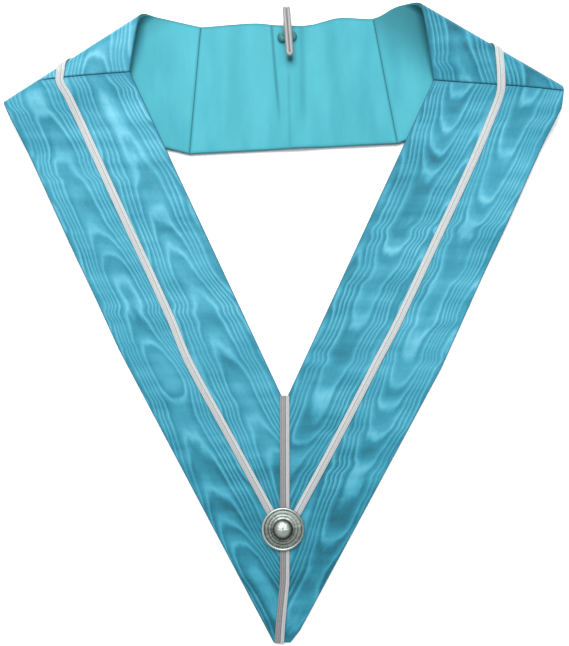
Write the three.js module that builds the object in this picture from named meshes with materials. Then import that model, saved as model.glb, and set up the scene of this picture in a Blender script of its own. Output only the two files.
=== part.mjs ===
// A V-shaped collar of broad watered ribbon, lying face up with its shoulders folded under.
// Millimetres and degrees. +X is the viewer's right, +Y runs from the point to the neck, +Z is up.
import * as THREE from 'three';
import { mergeVertices } from 'three/addons/utils/BufferGeometryUtils.js';

// Ribbon and its layers
const RIBBON_WIDTH = 101.6;
const FACE_THICKNESS = 1.0;
const LINING_THICKNESS = 1.0;
const CLEARANCE = 0.3;

// Front of the V, measured from where the inner edges meet (the crotch)
const CROTCH_Y = -62.7;
const POINT_DROP = 199.9;
const POINT_TRIM = 14.1;
const POINT_SWAY = -0.9;
const POINT_BEVEL_RISE = 11;

// Each side is laid out flat, with x running outward from the centre seam. Angles are from +X.
// The fold bulges out less toward the shoulder's outer corner, where the seam holds it flat.
const LEFT = {
  mirror: -1,
  strapAngle: 64.8,
  strapLength: 292.3,
  taperStart: 93.9,
  panelAngle: 100.5,
  panelLength: 99.5,
  foldAngle: 146.8,
  foldStart: 37.9,
  bendRadius: 6.2,
  neckBulge: 1.04,
  cornerBulge: 0.92,
  neckLift: 0,
  cornerTrim: 0.8,
  pointBevel: 0,
};
const RIGHT = {
  mirror: 1,
  strapAngle: 65.1,
  strapLength: 285.3,
  taperStart: 76.3,
  panelAngle: 100.6,
  panelLength: 103.9,
  foldAngle: 149.7,
  foldStart: 50.9,
  bendRadius: 7.2,
  neckBulge: 1.14,
  cornerBulge: 0.9,
  neckLift: 3.4,
  cornerTrim: 4.4,
  pointBevel: 2.4,
};

// Back section, cut a little wider than the straps, and how the upper layer comes down from the folds
const BACK_WIDTH = 104.4;
const BACK_MITRE = 17;
const SETTLE_LENGTH = 46;
const UNDERLAP_MARGIN = 5;
const DESCENT_LENGTH = 60;

// Just past the fold the neck edge curves up the page, at these distances past the fold's start
const NECK_LIFT = { centre: 24, halfWidth: 14 };

// Waves of the back section beside the hook. Centres, from the middle, and half widths are shares
// of its width, and each wave ends before the seams.
const WAVE_HEIGHT = 1.6;
const EDGE_DIP = 3.4;
const WAVES = [
  { name: 'ridge under the hook', centre: 0.02, halfWidth: 0.15, height: 1.0 },
  { name: 'swell to its right', centre: 0.31, halfWidth: 0.17, height: 0.4 },
];
const DIPS = [
  { name: 'neck dip', centre: 0.06, halfWidth: 0.26, top: 1.0, bottom: 0.0 },
  { name: 'rise left of it', centre: -0.24, halfWidth: 0.25, top: -0.32, bottom: 0.0 },
  { name: 'rise right of it', centre: 0.31, halfWidth: 0.18, top: -0.52, bottom: 0.0 },
];

// Braid, sewn on the face. Its path follows the outer edge at these shares of the ribbon's width.
const SIDE_BRAID_WIDTH = 6.4;
const CENTRE_BRAID_WIDTH = 7.5;
const BRAID_THICKNESS = 1.2;
const BRAID_PATH = [
  { along: 0.0, left: 0.486, right: 0.505 },
  { along: 0.08, left: 0.481, right: 0.468 },
  { along: 0.2, left: 0.476, right: 0.45 },
  { along: 0.55, left: 0.47, right: 0.459 },
  { along: 0.65, left: 0.437, right: 0.466 },
  { along: 0.82, left: 0.442, right: 0.452 },
  { along: 1.0, left: 0.448, right: 0.448 },
];
const BRAID_AT_BACK_SEAM = { left: 0.5, right: 0.42 };
const CENTRE_BRAID_RISE = 5;
const CENTRE_BRAID_PATH = [
  { along: 0.0, aside: 0.0 },
  { along: 0.74, aside: 0.0 },
  { along: 0.83, aside: -0.2 },
  { along: 0.92, aside: -0.42 },
  { along: 1.0, aside: -0.56 },
];

// Button over the crossing of the braids
const BUTTON_DROP = 98.6;
const BUTTON_ASIDE = -1.3;
const BUTTON_RADIUS = 16.7;
const BUTTON_HEIGHT = 6.4;
const BUTTON_SIDES = 36;
const DOME_RADIUS = 7.6;

// Wire hook at the nape, whose front limbs lie a little to the right of the rear ones
const HOOK_WIRE = 2.4;
const HOOK_LIMB_GAP = 0.5;
const HOOK_MOUTH = 5.2;
const HOOK_FRONT_LENGTH = 39.4;
const HOOK_REACH = 12.5;
const HOOK_EYE_DEPTH = 10;
const HOOK_EYE_RADIUS = 2.1;
const HOOK_LEAN = 5.5;
const HOOK_ASIDE = 0.15;
const HOOK_FRONT_ASIDE = 1.3;

// Fineness of the faceted surfaces
const BEND_STEPS = 9;
const SLOPE_STEPS = 6;
const LIFT_STEPS = 3;
const BACK_COLUMNS = 18;
const BACK_ROWS = 4;
const WIRE_SIDES = 8;

// Heights worked out from the sizes above
const CLOTH_THICKNESS = FACE_THICKNESS + CLEARANCE + LINING_THICKNESS;
const FACE_OFFSET = LINING_THICKNESS + CLEARANCE;
const BRAID_OFFSET = CLOTH_THICKNESS + CLEARANCE;
const BACK_TOP = BRAID_THICKNESS + CLEARANCE + CLOTH_THICKNESS;
const REST_HEIGHT = BACK_TOP + CLEARANCE;
const POINT_Y = CROTCH_Y - POINT_DROP;
const CUT_Y = POINT_Y + POINT_TRIM;
const BUTTON_Y = CROTCH_Y - BUTTON_DROP;

const v2 = (x, y) => new THREE.Vector2(x, y);
const v3 = (x, y, z) => new THREE.Vector3(x, y, z);
const heading = (degrees) => {
  const angle = THREE.MathUtils.degToRad(degrees);
  return v2(Math.cos(angle), Math.sin(angle));
};
const along = (start, direction, distance) => start.clone().addScaledVector(direction, distance);
const mix = (a, b, share) => a.clone().lerp(b, share);
const ease = (t) => THREE.MathUtils.smoothstep(t, 0, 1);
const bump = (t, row) => {
  const away = Math.min(Math.abs(t - row.centre) / row.halfWidth, 1);
  return 0.5 + 0.5 * Math.cos(Math.PI * away);
};

// Where the line through a along u crosses the line through b along w
function crossing(a, u, b, w) {
  const gap = b.clone().sub(a);
  return along(a, u, gap.cross(w) / u.cross(w));
}

// The part of a convex outline that lies at least margin past a line, on its normal's side
function clip(outline, point, normal, margin = 0) {
  const depth = outline.map((corner) => corner.clone().sub(point).dot(normal) - margin);
  const kept = [];
  outline.forEach((corner, i) => {
    const next = (i + 1) % outline.length;
    if (depth[i] >= 0) kept.push(corner.clone());
    if (depth[i] * depth[next] < 0) {
      kept.push(mix(corner, outline[next], depth[i] / (depth[i] - depth[next])));
    }
  });
  return kept;
}

// The flat layout of one side, with its named points and lines
function layOut(side) {
  const plan = { ...side };
  plan.crotch = v2(0, CROTCH_Y);
  plan.point = v2(side.mirror * POINT_SWAY, POINT_Y);
  plan.strapWay = heading(side.strapAngle);
  const outward = heading(side.strapAngle - 90);
  plan.neckPoint = along(plan.crotch, plan.strapWay, side.strapLength);
  plan.taper = along(along(plan.crotch, plan.strapWay, side.taperStart), outward, RIBBON_WIDTH);
  plan.lowerWay = plan.taper.clone().sub(plan.point).normalize();
  plan.seamWay = heading((side.strapAngle + side.panelAngle) / 2 - 90);
  plan.seamEnd = crossing(plan.neckPoint, plan.seamWay, plan.taper, plan.strapWay);
  plan.panelWay = heading(side.panelAngle);
  plan.panelOut = heading(side.panelAngle - 90);
  plan.backTop = along(plan.neckPoint, plan.panelWay, side.panelLength);
  plan.backSeamWay = heading(side.panelAngle - 90 + BACK_MITRE / 2);
  plan.backSeamLength = BACK_WIDTH / Math.cos(THREE.MathUtils.degToRad(BACK_MITRE / 2));
  plan.backBottom = along(plan.backTop, plan.backSeamWay, plan.backSeamLength);
  plan.foldPoint = along(plan.neckPoint, plan.panelWay, side.foldStart);
  plan.foldNormal = heading(side.foldAngle - 90);
  plan.foldWay = heading(side.foldAngle - 180);
  plan.foldSpan = plan.seamEnd.clone().sub(plan.foldPoint).dot(plan.foldWay);
  plan.innerRadius = side.bendRadius - CLOTH_THICKNESS / 2;
  plan.bendLength = Math.PI * side.bendRadius;
  plan.pastFold = (point) => point.clone().sub(plan.foldPoint).dot(plan.foldNormal);
  plan.underlap = plan.pastFold(plan.backBottom) - plan.bendLength + UNDERLAP_MARGIN;
  plan.foldTop = BACK_TOP + 2 * plan.innerRadius;
  const descentEnd = plan.underlap + DESCENT_LENGTH;
  plan.levels = [];
  for (let i = 0; i <= SLOPE_STEPS; i += 1) {
    plan.levels.push(-descentEnd + (DESCENT_LENGTH * i) / SLOPE_STEPS);
    plan.levels.push(-SETTLE_LENGTH + (SETTLE_LENGTH * i) / SLOPE_STEPS);
  }
  for (let i = 1; i <= BEND_STEPS; i += 1) plan.levels.push((plan.bendLength * i) / BEND_STEPS);
  if (side.neckLift > 0) {
    for (let i = 1; i <= LIFT_STEPS; i += 1) {
      plan.levels.push(plan.bendLength + (NECK_LIFT.halfWidth * i) / LIFT_STEPS);
    }
  }
  plan.levels.sort((a, b) => a - b);
  return plan;
}

// Height of the lining's skin on the upper layer, at a distance before the fold
function upperHeight(plan, before) {
  const settled = REST_HEIGHT + (plan.foldTop - REST_HEIGHT) * (1 - ease(before / SETTLE_LENGTH));
  return settled - REST_HEIGHT * ease((before - plan.underlap) / DESCENT_LENGTH);
}

// A point of the flat layout on the folded cloth, at an offset from the lining's skin to the face
function onCloth(plan, point, offset) {
  const past = plan.pastFold(point);
  let out = past;
  let height = upperHeight(plan, -past) + offset;
  if (past > plan.bendLength) {
    out = plan.bendLength - past;
    height = BACK_TOP - offset;
  } else if (past > 0) {
    const turn = past / plan.bendRadius;
    const radius = plan.innerRadius + offset;
    const away = point.clone().sub(plan.foldPoint).dot(plan.foldWay) / plan.foldSpan;
    const bulge = THREE.MathUtils.lerp(plan.neckBulge, plan.cornerBulge, away);
    out = bulge * radius * Math.sin(turn);
    height = BACK_TOP + plan.innerRadius + radius * Math.cos(turn);
  }
  const flat = along(point, plan.foldNormal, out - past);
  const inFromNeck = point.clone().sub(plan.neckPoint).dot(plan.panelOut);
  const lift = plan.neckLift * bump(past, NECK_LIFT) * (1 - inFromNeck / RIBBON_WIDTH);
  return v3(plan.mirror * flat.x, flat.y + lift, height);
}

// Cuts a flat outline into strips along the fold and lays each strip on the cloth
function foldedTiles(plan, outline, low, high) {
  const tiles = [];
  const bounds = [-Infinity, ...plan.levels, Infinity];
  for (let i = 0; i + 1 < bounds.length; i += 1) {
    let strip = outline;
    if (i > 0) strip = clip(strip, along(plan.foldPoint, plan.foldNormal, bounds[i]), plan.foldNormal);
    if (i + 2 < bounds.length) {
      const far = along(plan.foldPoint, plan.foldNormal, bounds[i + 1]);
      strip = clip(strip, far, plan.foldNormal.clone().negate());
    }
    if (strip.length < 3) continue;
    tiles.push({
      low: strip.map((corner) => onCloth(plan, corner, low)),
      high: strip.map((corner) => onCloth(plan, corner, high)),
    });
  }
  return tiles;
}

// One closed solid from tiles that share edges: skins on both sides, and walls at the free edges
function tileSolid(tiles) {
  const positions = [];
  const triangle = (a, b, c) => positions.push(...a.toArray(), ...b.toArray(), ...c.toArray());
  const key = (p) => p.toArray().map((value) => Math.round(value * 1000)).join(' ');
  const edges = new Map();
  for (const { low, high } of tiles) {
    for (let i = 1; i + 1 < low.length; i += 1) {
      triangle(high[0], high[i], high[i + 1]);
      triangle(low[0], low[i + 1], low[i]);
    }
    low.forEach((corner, i) => {
      const next = (i + 1) % low.length;
      const there = `${key(corner)}|${key(low[next])}`;
      const back = `${key(low[next])}|${key(corner)}`;
      if (edges.has(back)) edges.delete(back);
      else if (key(corner) !== key(low[next])) {
        edges.set(there, [corner, low[next], high[i], high[next]]);
      }
    });
  }
  for (const [a, b, aHigh, bHigh] of edges.values()) {
    triangle(a, b, bHigh);
    triangle(a, bHigh, aHigh);
  }
  return closed(positions);
}

// Joins equal corners, drops slivers and turns the faces out
function closed(positions) {
  const loose = new THREE.BufferGeometry();
  loose.setAttribute('position', new THREE.Float32BufferAttribute(positions, 3));
  const joined = mergeVertices(loose, 1e-3);
  const index = [];
  for (let i = 0; i < joined.index.count; i += 3) {
    const [a, b, c] = [0, 1, 2].map((corner) => joined.index.getX(i + corner));
    if (a !== b && b !== c && c !== a) index.push(a, b, c);
  }
  joined.setIndex(signedVolume(joined, index) < 0 ? index.reverse() : index);
  joined.computeVertexNormals();
  return joined;
}

function signedVolume(geometry, index) {
  const at = (i) => new THREE.Vector3().fromBufferAttribute(geometry.attributes.position, i);
  let volume = 0;
  for (let i = 0; i < index.length; i += 3) {
    volume += at(index[i]).dot(at(index[i + 1]).cross(at(index[i + 2]))) / 6;
  }
  return volume;
}

const left = layOut(LEFT);
const right = layOut(RIGHT);

// Takes the outer corner off at the shoulder seam, square to it
function trimCorner(plan, outline) {
  return clip(outline, plan.seamEnd, plan.seamWay.clone().negate(), plan.cornerTrim);
}

// Front strap: from the centre seam and the trimmed point up to the shoulder seam
function strapOutline(plan) {
  const level = v2(1, 0);
  const cutSeam = v2(plan.point.x, CUT_Y);
  const cutEdge = crossing(plan.point, plan.lowerWay, cutSeam, level);
  const corners = [cutSeam, cutEdge, plan.taper, plan.seamEnd, plan.neckPoint, plan.crotch];
  if (plan.pointBevel > 0) {
    corners.splice(2, 0, along(cutEdge, plan.lowerWay, POINT_BEVEL_RISE));
    cutEdge.x -= plan.pointBevel;
  }
  const seamNormal = plan.seamWay.clone().rotateAround(v2(0, 0), -Math.PI / 2);
  const centreWay = plan.crotch.clone().sub(cutSeam).normalize();
  const centreNormal = centreWay.rotateAround(v2(0, 0), -Math.PI / 2);
  const trimmed = clip(corners, plan.neckPoint, seamNormal, CLEARANCE / 2);
  return trimCorner(plan, clip(trimmed, plan.crotch, centreNormal, CLEARANCE / 2));
}

// Shoulder panel: from the shoulder seam, over the fold, to the back seam
function shoulderOutline(plan) {
  const corners = [plan.neckPoint, plan.seamEnd, plan.backBottom, plan.backTop];
  const seamNormal = plan.seamWay.clone().rotateAround(v2(0, 0), Math.PI / 2);
  const backNormal = plan.backSeamWay.clone().rotateAround(v2(0, 0), -Math.PI / 2);
  const trimmed = clip(corners, plan.neckPoint, seamNormal, CLEARANCE / 2);
  return trimCorner(plan, clip(trimmed, plan.backTop, backNormal, CLEARANCE / 2));
}

// A point of the back section: across from the left to the right seam, down from neck to hem
function onBack(across, down, offset) {
  const seamPoint = (plan) => {
    return onCloth(plan, along(plan.backTop, plan.backSeamWay, down * plan.backSeamLength), offset);
  };
  const spot = seamPoint(left).lerp(seamPoint(right), across);
  const fromMiddle = across - 0.5;
  for (const row of WAVES) spot.z += WAVE_HEIGHT * row.height * bump(fromMiddle, row);
  for (const row of DIPS) {
    spot.y -= EDGE_DIP * THREE.MathUtils.lerp(row.top, row.bottom, down) * bump(fromMiddle, row);
  }
  return spot;
}

function backSpan() {
  return onCloth(left, left.backTop, 0).distanceTo(onCloth(right, right.backTop, 0));
}

// Tiles of the back section between two lines that run across it
function backTiles(upper, lower, rows, low, high, inset) {
  const tiles = [];
  const across = (column) => THREE.MathUtils.lerp(inset, 1 - inset, column / BACK_COLUMNS);
  const down = (column, row) => {
    return THREE.MathUtils.lerp(upper(across(column)), lower(across(column)), row / rows);
  };
  for (let column = 0; column < BACK_COLUMNS; column += 1) {
    for (let row = 0; row < rows; row += 1) {
      const corners = [[column, row], [column, row + 1], [column + 1, row + 1], [column + 1, row]];
      const skin = (offset) => corners.map(([c, r]) => onBack(across(c), down(c, r), offset));
      tiles.push({ low: skin(low).reverse(), high: skin(high).reverse() });
    }
  }
  return tiles;
}

// The braid's two edges where it crosses a line at a point of its middle
function braidEnds(middle, lineWay, routeWay) {
  const slant = Math.abs(lineWay.cross(routeWay));
  const reach = SIDE_BRAID_WIDTH / 2 / slant;
  return [along(middle, lineWay, -reach), along(middle, lineWay, reach)];
}

// Middle line of the braid on one side, from near the centre seam up to the shoulder seam
function braidMiddle(plan, shareName) {
  const { point, lowerWay } = plan;
  const inward = (way) => v2(-way.y, way.x);
  const rows = BRAID_PATH.map((row) => ({ along: row.along, inset: row[shareName] * RIBBON_WIDTH }));
  const last = rows[rows.length - 1];
  const lowStart = along(point, inward(lowerWay), last.inset);
  const endX = CENTRE_BRAID_WIDTH / 2 + (SIDE_BRAID_WIDTH / 2) * lowerWay.y + 2 * CLEARANCE;
  const end = crossing(lowStart, lowerWay, v2(endX, 0), v2(0, 1));
  const lowerLength = plan.taper.clone().sub(end).dot(lowerWay);
  const upperLength = plan.seamEnd.clone().sub(plan.taper).dot(plan.strapWay);
  const whole = lowerLength + upperLength;
  const spots = rows.slice(1, -1).map((row) => {
    const up = (1 - row.along) * whole;
    const low = up < lowerLength;
    const way = low ? lowerWay : plan.strapWay;
    const base = along(plan.taper, way, up - lowerLength);
    return along(base, inward(way), row.inset);
  });
  const seamLength = plan.seamEnd.distanceTo(plan.neckPoint);
  const top = along(plan.neckPoint, plan.seamWay, seamLength * (1 - rows[0].inset / RIBBON_WIDTH));
  return [top, ...spots, end];
}

// The side braid's tiles on one side, from the centre seam to the back seam
function sideBraid(plan, shareName) {
  const middle = braidMiddle(plan, shareName);
  const backShare = 1 - BRAID_AT_BACK_SEAM[shareName];
  const backMiddle = along(plan.backTop, plan.backSeamWay, plan.backSeamLength * backShare);
  const panelWay = backMiddle.clone().sub(middle[0]).normalize();
  const strips = [braidEnds(backMiddle, plan.backSeamWay, panelWay)];
  strips.push(braidEnds(middle[0], plan.seamWay, panelWay));
  for (let i = 1; i < middle.length; i += 1) {
    const before = middle[i - 1];
    const after = middle[Math.min(i + 1, middle.length - 1)];
    const way = before.clone().sub(after).normalize();
    strips.push(braidEnds(middle[i], v2(way.y, -way.x), way));
  }
  const tiles = [];
  for (let i = 0; i + 1 < strips.length; i += 1) {
    const outline = [strips[i][0], strips[i + 1][0], strips[i + 1][1], strips[i][1]];
    tiles.push(...foldedTiles(plan, outline, BRAID_OFFSET, BRAID_OFFSET + BRAID_THICKNESS));
  }
  const share = (spot) => spot.distanceTo(plan.backTop) / plan.backSeamLength;
  return { tiles, seamShares: strips[0].map(share) };
}

function orient(plan, tiles) {
  if (plan.mirror > 0) return tiles;
  return tiles.map(({ low, high }) => ({ low: [...low].reverse(), high: [...high].reverse() }));
}

function clothPiece(plan, outline, low, high) {
  return tileSolid(orient(plan, foldedTiles(plan, outline, low, high)));
}

function backPiece(low, high) {
  const inset = CLEARANCE / 2 / backSpan();
  return tileSolid(backTiles(() => 0, () => 1, BACK_ROWS, low, high, inset));
}

function sideBraidPiece() {
  const onLeft = sideBraid(left, 'left');
  const onRight = sideBraid(right, 'right');
  const line = (i) => (across) => {
    return THREE.MathUtils.lerp(onLeft.seamShares[i], onRight.seamShares[i], across);
  };
  const low = BRAID_OFFSET;
  const back = backTiles(line(0), line(1), 1, low, low + BRAID_THICKNESS, 0);
  return tileSolid([...orient(left, onLeft.tiles), ...back, ...orient(right, onRight.tiles)]);
}

// Straight braid down the centre seam, from just above the crotch to the trimmed point
function centreBraidPiece() {
  const top = CROTCH_Y + CENTRE_BRAID_RISE;
  const spots = CENTRE_BRAID_PATH.map((row) => {
    return v2(row.aside * CENTRE_BRAID_WIDTH, THREE.MathUtils.lerp(top, CUT_Y, row.along));
  });
  const half = CENTRE_BRAID_WIDTH / 2;
  const tiles = [];
  for (let i = 0; i + 1 < spots.length; i += 1) {
    const [a, b] = [spots[i], spots[i + 1]];
    const corners = [[a.x - half, a.y], [b.x - half, b.y], [b.x + half, b.y], [a.x + half, a.y]];
    const skin = (height) => corners.map(([x, y]) => v3(x, y, height));
    tiles.push({ low: skin(BRAID_OFFSET), high: skin(BRAID_OFFSET + BRAID_THICKNESS) });
  }
  return tileSolid(tiles);
}

// Button profile: shares of the button's radius and height, from the back centre to the front
const BUTTON_PROFILE = [
  { radius: 0, height: 0 },
  { radius: 0.92, height: 0 },
  { radius: 1.0, height: 0.1 },
  { radius: 1.0, height: 0.22 },
  { radius: 0.96, height: 0.36 },
  { radius: 0.9, height: 0.36 },
  { radius: 0.85, height: 0.24 },
  { radius: 0.66, height: 0.34 },
  { radius: 0.6, height: 0.46 },
  { radius: 0.55, height: 0.42 },
];

function buttonPiece() {
  const outline = BUTTON_PROFILE.map((row) => {
    return v2(row.radius * BUTTON_RADIUS, row.height * BUTTON_HEIGHT);
  });
  const base = outline[outline.length - 1].y;
  const domeSteps = 6;
  for (let i = 0; i <= domeSteps; i += 1) {
    const turn = (Math.PI / 2) * (i / domeSteps);
    const rise = (BUTTON_HEIGHT - base) * Math.sin(turn);
    outline.push(v2(i < domeSteps ? DOME_RADIUS * Math.cos(turn) : 0, base + rise));
  }
  const turned = new THREE.LatheGeometry(outline, BUTTON_SIDES).toNonIndexed();
  return closed(turned.attributes.position.array);
}

// The hook's wire: eye, rear limb, bend, front limb, round the tip and back the same way
function hookStations() {
  const half = (HOOK_WIRE + HOOK_LIMB_GAP) / 2;
  const rise = HOOK_MOUTH + HOOK_WIRE;
  const bend = rise / 2;
  const bendStart = HOOK_EYE_DEPTH + HOOK_REACH - bend - HOOK_WIRE / 2;
  const tip = HOOK_EYE_DEPTH + HOOK_REACH - HOOK_FRONT_LENGTH + half;
  const eyeOpening = Math.acos(1 - (HOOK_WIRE + CLEARANCE) / HOOK_EYE_RADIUS);
  const arc = (steps, from, to, spot) => {
    return Array.from({ length: steps + 1 }, (_, i) => spot(from + ((to - from) * i) / steps));
  };
  const eye = arc(10, eyeOpening, 2 * Math.PI, (turn) => {
    const centre = -half - HOOK_EYE_RADIUS;
    return [centre + HOOK_EYE_RADIUS * Math.cos(turn), HOOK_EYE_RADIUS * Math.sin(turn), 0];
  });
  const over = arc(8, 0, Math.PI, (turn) => {
    return [-half, bendStart + bend * Math.sin(turn), bend - bend * Math.cos(turn)];
  });
  const tipTurn = arc(6, Math.PI, 1.5 * Math.PI, (turn) => {
    return [half * Math.cos(turn), tip + half * Math.sin(turn), rise];
  });
  const oneHalf = [...eye, ...over, ...tipTurn].map((spot) => v3(...spot));
  const otherHalf = oneHalf.slice(0, -1).reverse().map((spot) => v3(-spot.x, spot.y, spot.z));
  const stations = [...oneHalf, ...otherHalf];
  for (const spot of stations) spot.x += (HOOK_FRONT_ASIDE * spot.z) / rise;
  return stations;
}

// A route through chosen stations, straight between them
class StationCurve extends THREE.Curve {
  constructor(stations) {
    super();
    this.stations = stations;
  }

  getPoint(t, target = new THREE.Vector3()) {
    const place = t * (this.stations.length - 1);
    const i = Math.min(Math.floor(place), this.stations.length - 2);
    return target.lerpVectors(this.stations[i], this.stations[i + 1], place - i);
  }

  getPointAt(t, target) {
    return this.getPoint(t, target);
  }

  getTangentAt(t, target = new THREE.Vector3()) {
    const i = Math.round(t * (this.stations.length - 1));
    const before = this.stations[Math.max(i - 1, 0)];
    const after = this.stations[Math.min(i + 1, this.stations.length - 1)];
    const arriving = this.stations[i].clone().sub(before).normalize();
    const leaving = after.clone().sub(this.stations[i]).normalize();
    return target.addVectors(arriving, leaving).normalize();
  }
}

// The middle of the hook's eyes, with its wire resting on the highest lining beneath it
function hookSeat() {
  const across = (aside) => 0.5 + (HOOK_ASIDE + aside) / backSpan();
  const reach = HOOK_WIRE + HOOK_LIMB_GAP + 2 * HOOK_EYE_RADIUS;
  const heights = [-1, -0.5, 0, 0.5, 1].map((share) => onBack(across(share * reach), 0, 0).z);
  const edge = onBack(across(0), 0, 0);
  return v3(edge.x, edge.y - HOOK_EYE_DEPTH, Math.max(...heights) + CLEARANCE + HOOK_WIRE / 2);
}

function hookPiece() {
  const section = new THREE.Shape();
  for (let i = 0; i < WIRE_SIDES; i += 1) {
    const turn = (2 * Math.PI * (i + 0.5)) / WIRE_SIDES;
    const spot = v2(Math.cos(turn), Math.sin(turn)).multiplyScalar(HOOK_WIRE / 2);
    if (i === 0) section.moveTo(spot.x, spot.y);
    else section.lineTo(spot.x, spot.y);
  }
  const stations = hookStations();
  const wire = new THREE.ExtrudeGeometry(section, {
    steps: stations.length - 1,
    curveSegments: 1,
    extrudePath: new StationCurve(stations),
  });
  return closed(wire.attributes.position.array);
}

// Materials
const finish = (color, roughness, metalness) => {
  return new THREE.MeshStandardMaterial({ color, roughness, metalness, side: THREE.DoubleSide });
};
const moire = finish('#4ba6c3', 0.5, 0);
const lining = finish('#5fc3d6', 0.6, 0);
const silverBraid = finish('#c3c6c6', 0.45, 0.5);
const silver = finish('#b9bdb9', 0.25, 1);
const wire = finish('#c9cccd', 0.25, 1);

const collar = new THREE.Group();
const add = (name, geometry, material, parent = collar) => {
  const mesh = new THREE.Mesh(geometry, material);
  mesh.name = name;
  parent.add(mesh);
  return mesh;
};

for (const [word, plan] of [['left', left], ['right', right]]) {
  const shoulder = shoulderOutline(plan);
  add(`strap_${word}`, clothPiece(plan, strapOutline(plan), 0, CLOTH_THICKNESS), moire);
  add(`shoulder_${word}`, clothPiece(plan, shoulder, FACE_OFFSET, CLOTH_THICKNESS), moire);
  add(`lining_${word}`, clothPiece(plan, shoulder, 0, LINING_THICKNESS), lining);
}
add('back_panel', backPiece(FACE_OFFSET, CLOTH_THICKNESS), moire);
add('lining_back', backPiece(0, LINING_THICKNESS), lining);
add('side_braid', sideBraidPiece(), silverBraid);
add('centre_braid', centreBraidPiece(), silverBraid);

const button = add('button', buttonPiece(), silver);
button.rotation.x = Math.PI / 2;
button.position.set(BUTTON_ASIDE, BUTTON_Y, BRAID_OFFSET + BRAID_THICKNESS + CLEARANCE);

const hook = add('neck_hook', hookPiece(), wire);
hook.rotation.z = THREE.MathUtils.degToRad(HOOK_LEAN);
hook.position.copy(hookSeat());

// The origin is under the middle of the whole collar
const extent = new THREE.Box3().setFromObject(collar);
const middle = extent.getCenter(new THREE.Vector3());
collar.position.set(-middle.x, -middle.y, -extent.min.z);

export default collar;
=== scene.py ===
"""Looks of a V-shaped collar of broad watered ribbon, lying face up with its shoulders folded under.

The ribbon is laid out flat in millimetres, as it is cut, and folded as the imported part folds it. The
meshes are then made in metres, in the frame of that part.
"""
import math
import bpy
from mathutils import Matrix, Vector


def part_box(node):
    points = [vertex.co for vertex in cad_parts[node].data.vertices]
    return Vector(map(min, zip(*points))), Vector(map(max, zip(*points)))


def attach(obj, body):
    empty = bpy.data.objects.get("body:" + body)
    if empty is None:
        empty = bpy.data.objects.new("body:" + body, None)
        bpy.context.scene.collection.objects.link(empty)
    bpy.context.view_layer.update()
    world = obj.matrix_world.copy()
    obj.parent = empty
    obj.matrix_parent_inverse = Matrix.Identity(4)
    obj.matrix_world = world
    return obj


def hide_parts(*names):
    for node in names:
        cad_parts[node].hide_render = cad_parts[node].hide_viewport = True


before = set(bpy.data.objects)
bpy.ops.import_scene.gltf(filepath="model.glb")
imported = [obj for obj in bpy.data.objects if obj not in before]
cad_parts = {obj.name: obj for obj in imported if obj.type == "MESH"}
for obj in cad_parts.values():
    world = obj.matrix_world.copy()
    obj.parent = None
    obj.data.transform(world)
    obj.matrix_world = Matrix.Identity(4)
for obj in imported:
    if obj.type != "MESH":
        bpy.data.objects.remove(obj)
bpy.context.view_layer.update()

from types import SimpleNamespace

import bpy
import numpy as np
from mathutils import Vector

MM = 0.001
norm = np.linalg.norm
scene = bpy.context.scene

# The part's own sizes, in millimetres and degrees, as its layout has them. The shade_ values of a side
# are looks, and the hook's front length, lean and two asides differ a little from the part's.
RIBBON_WIDTH = 101.6
LINING_THICKNESS = 1.0
CLOTH_THICKNESS = 2.3
FACE_OFFSET = 1.3
CLEARANCE = 0.3

CROTCH_Y = -62.7
POINT_DROP = 199.9
POINT_TRIM = 14.1
POINT_SWAY = -0.9
POINT_BEVEL_RISE = 11.0

LEFT = dict(
    mirror=-1, strap_angle=64.8, strap_length=292.3, taper_start=93.9, panel_angle=100.5, panel_length=99.5,
    fold_angle=146.8, fold_start=37.9, bend_radius=6.2, neck_bulge=1.04, corner_bulge=0.92,
    neck_lift=0.0, corner_trim=0.8, point_bevel=0.0, shade_reach=22.0, shade_depth=0.6,
)
RIGHT = dict(
    mirror=1, strap_angle=65.1, strap_length=285.3, taper_start=76.3, panel_angle=100.6, panel_length=103.9,
    fold_angle=149.7, fold_start=50.9, bend_radius=7.2, neck_bulge=1.14, corner_bulge=0.9,
    neck_lift=3.4, corner_trim=4.4, point_bevel=2.4, shade_reach=60.0, shade_depth=1.0,
)

BACK_WIDTH = 104.4
BACK_MITRE = 17.0
SETTLE_LENGTH = 46.0
UNDERLAP_MARGIN = 5.0
DESCENT_LENGTH = 60.0
NECK_LIFT = dict(centre=24.0, half_width=14.0)

WAVE_HEIGHT = 1.6
EDGE_DIP = 3.4
WAVES = [dict(centre=0.02, half_width=0.15, height=1.0), dict(centre=0.31, half_width=0.17, height=0.4)]
DIPS = [
    dict(centre=0.06, half_width=0.26, top=1.0, bottom=0.0),
    dict(centre=-0.24, half_width=0.25, top=-0.32, bottom=0.0),
    dict(centre=0.31, half_width=0.18, top=-0.52, bottom=0.0),
]

SIDE_BRAID_WIDTH = 6.4
CENTRE_BRAID_WIDTH = 7.5
BRAID_THICKNESS = 1.2
BRAID_PATH = [
    dict(along=0.0, left=0.486, right=0.505),
    dict(along=0.08, left=0.481, right=0.468),
    dict(along=0.2, left=0.476, right=0.45),
    dict(along=0.55, left=0.47, right=0.459),
    dict(along=0.65, left=0.437, right=0.466),
    dict(along=0.82, left=0.442, right=0.452),
    dict(along=1.0, left=0.448, right=0.448),
]
BRAID_AT_BACK_SEAM = dict(left=0.5, right=0.42)
CENTRE_BRAID_RISE = 5.0
CENTRE_BRAID_PATH = [
    dict(along=0.0, aside=0.0),
    dict(along=0.74, aside=0.0),
    dict(along=0.83, aside=-0.2),
    dict(along=0.92, aside=-0.42),
    dict(along=1.0, aside=-0.56),
]

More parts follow.
